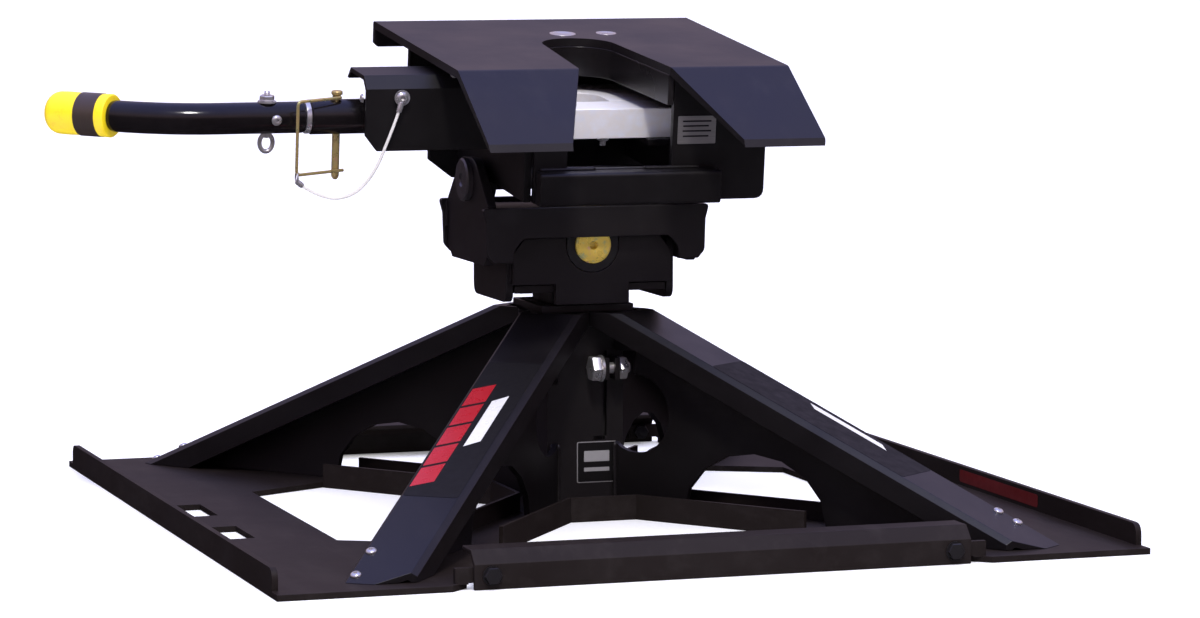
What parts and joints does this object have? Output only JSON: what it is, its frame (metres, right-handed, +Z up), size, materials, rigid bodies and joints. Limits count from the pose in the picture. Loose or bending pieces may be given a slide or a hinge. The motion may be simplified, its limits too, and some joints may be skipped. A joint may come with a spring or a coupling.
{
  "type": "fifth wheel hitch",
  "caption": "Ball-mounted fifth wheel hitch: legged base and post, height-adjustable column, rolling and pitching head, sliding jaw bar.",
  "frame": {"origin": "middle of the hitch's overall width and length, on the truck bed under its foot plates; the post stands 54.415 mm towards +X", "axes": "+X to the curb side, away from the pull handle; +Y to the front of the truck; +Z up"},
  "size_m": [0.9688, 0.9396, 0.4959],
  "materials": {
    "bed_plate_coat": "satin black powder coat",
    "leg_coat": "satin black powder coat",
    "pedestal_coat": "satin black powder coat",
    "inner_steel": "black oxide",
    "stool_coat": "satin black powder coat",
    "saddle_coat": "satin black powder coat",
    "head_coat": "satin black powder coat",
    "plate_coat": "satin black powder coat",
    "handle_coat": "satin black powder coat",
    "grip_vinyl": "smooth yellow vinyl",
    "jaw_zinc": "bright zinc plate",
    "hardware_zinc": "bright zinc plate",
    "pin_yellow_zinc": "yellow chromate zinc plate",
    "roll_pin_yellow_zinc": "yellow chromate zinc plate",
    "bushing_plastic": "moulded black",
    "lanyard_coat": "clear-coated wire cable"
  },
  "bodies": {
    "base": {"foot_plate_left": "bed_plate_coat", "foot_plate_right": "bed_plate_coat", "spine_plate": "bed_plate_coat", "cross_bar_rear": "bed_plate_coat", "cross_bar_front": "bed_plate_coat", "bar_bolt_left_rear": "hardware_zinc", "bar_bolt_right_rear": "hardware_zinc", "bar_bolt_left_front": "hardware_zinc", "bar_bolt_right_front": "hardware_zinc", "leg_left_rear": "leg_coat", "leg_right_rear": "leg_coat", "leg_left_front": "leg_coat", "leg_right_front": "leg_coat", "web_left_rear": "leg_coat", "web_right_rear": "leg_coat", "web_left_front": "leg_coat", "web_right_front": "leg_coat", "pedestal_tube": "pedestal_coat", "pedestal_collar": "pedestal_coat", "ball_coupler": "inner_steel"},
    "clamp_bolt": {"clamp_bolt": "hardware_zinc"},
    "column": {"column_tube": "inner_steel", "stool_base": "stool_coat", "stool_plate_rear": "stool_coat", "stool_plate_front": "stool_coat", "stool_side_left": "stool_coat", "stool_side_right": "stool_coat", "roll_bushing_rear": "bushing_plastic", "roll_bushing_front": "bushing_plastic", "roll_pin": "roll_pin_yellow_zinc"},
    "saddle": {"saddle_hub": "inner_steel", "saddle_deck": "saddle_coat", "saddle_side_left": "saddle_coat", "saddle_side_right": "saddle_coat", "saddle_plate_rear": "saddle_coat", "saddle_plate_front": "saddle_coat", "pitch_shaft": "hardware_zinc", "pitch_retainer": "hardware_zinc"},
    "head": {"top_plate": "plate_coat", "throat_wall": "head_coat", "head_wall_left": "head_coat", "head_wall_right": "head_coat", "head_plate_rear": "head_coat", "lower_cross_member": "head_coat", "head_plate_front": "head_coat", "fixed_jaw": "jaw_zinc", "bar_guide_left": "head_coat", "bar_guide_right": "head_coat", "slide_box": "head_coat", "guide_plate": "head_coat", "lanyard_bolt": "hardware_zinc", "lanyard": "lanyard_coat"},
    "slide": {"slide_bar": "jaw_zinc", "slide_shaft": "handle_coat", "shaft_ring": "hardware_zinc", "handle_tube": "handle_coat", "handle_grip": "grip_vinyl", "eyebolt": "hardware_zinc"},
    "lock_pin": {"lock_pin": "pin_yellow_zinc"},
    "lock_bail": {"lock_bail": "pin_yellow_zinc"}
  },
  "joints": [
    {"name": "column_height", "type": "slide", "parent": "base", "child": "column", "axis": [0, 0, 1], "range_m": [0, 0.05]},
    {"name": "clamp_bolt_turn", "type": "hinge", "parent": "base", "child": "clamp_bolt", "pos_m": [0.07341, -0.056, 0.1495], "axis": [1, 0, 0], "continuous": true},
    {"name": "saddle_roll", "type": "hinge", "parent": "column", "child": "saddle", "pos_m": [0.05441, 0, 0.276], "axis": [0, 1, 0], "range_deg": [-8, 8]},
    {"name": "head_pitch", "type": "hinge", "parent": "saddle", "child": "head", "pos_m": [0.05441, 0, 0.34], "axis": [1, 0, 0], "range_deg": [-19, 5]},
    {"name": "jaw_slide", "type": "slide", "parent": "head", "child": "slide", "axis": [-1, 0, 0], "range_m": [0, 0.12]},
    {"name": "lock_pin_lift", "type": "slide", "parent": "slide", "child": "lock_pin", "axis": [0, -0.1219, 0.9925], "range_m": [0, 0.042]},
    {"name": "bail_swing", "type": "hinge", "parent": "lock_pin", "child": "lock_bail", "pos_m": [-0.20759, -0.05326, 0.42917], "axis": [-0.3746, 0.9203, 0.113], "range_deg": [0, 120]}
  ],
  "couplings": [
    {"joint": "lock_pin_lift", "follows": "bail_swing", "m_per_rad": 0.02}
  ]
}
